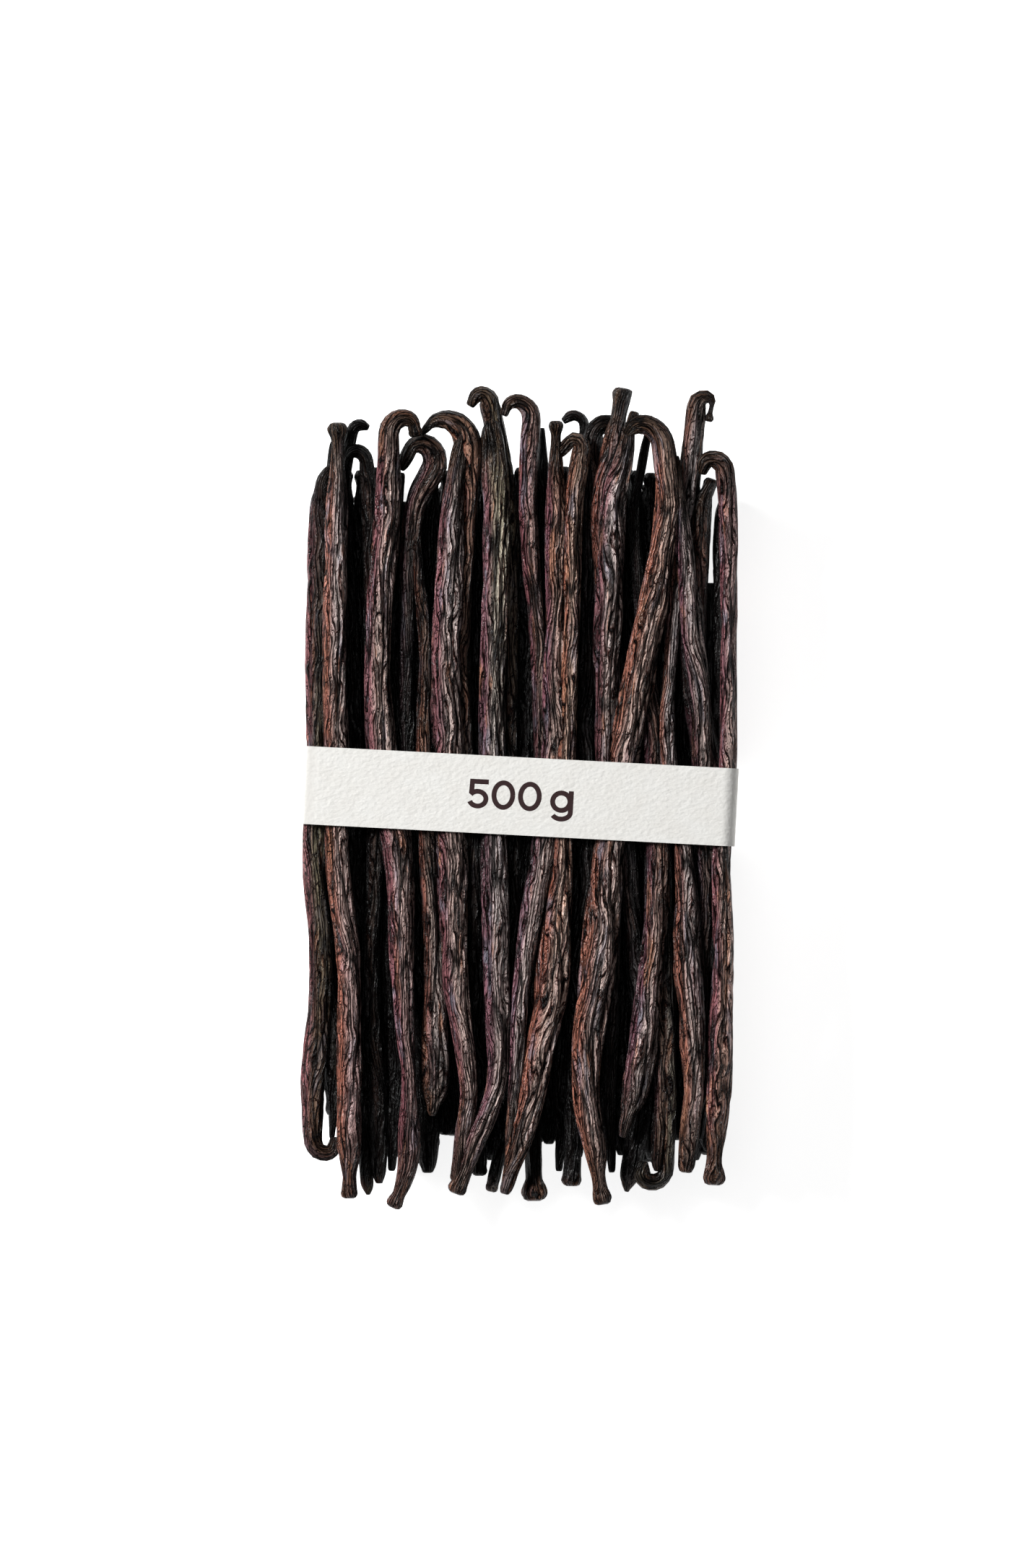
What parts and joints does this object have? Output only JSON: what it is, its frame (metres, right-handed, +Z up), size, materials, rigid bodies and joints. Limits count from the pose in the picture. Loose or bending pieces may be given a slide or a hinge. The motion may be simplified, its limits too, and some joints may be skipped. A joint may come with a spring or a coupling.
{
  "type": "bundle of vanilla pods",
  "caption": "Lying bundle of long, wrinkled cured vanilla pods with curled stalk ends, held round the waist by a slanting paper band.",
  "frame": {"origin": "On the floor, under the middle of the lying bundle.", "axes": "+Z up, out of the shown face; +Y along the pods towards their curled stalk ends; +X across the bundle, to the right seen from above with the stalk ends away."},
  "size_m": [0.0982, 0.1846, 0.0357],
  "materials": {
    "pods": "oily, wrinkled cured pod skin",
    "paper": "matte cold-pressed cotton paper"
  },
  "bodies": {
    "root": {"pods": "pods", "band": "paper"}
  },
  "joints": []
}
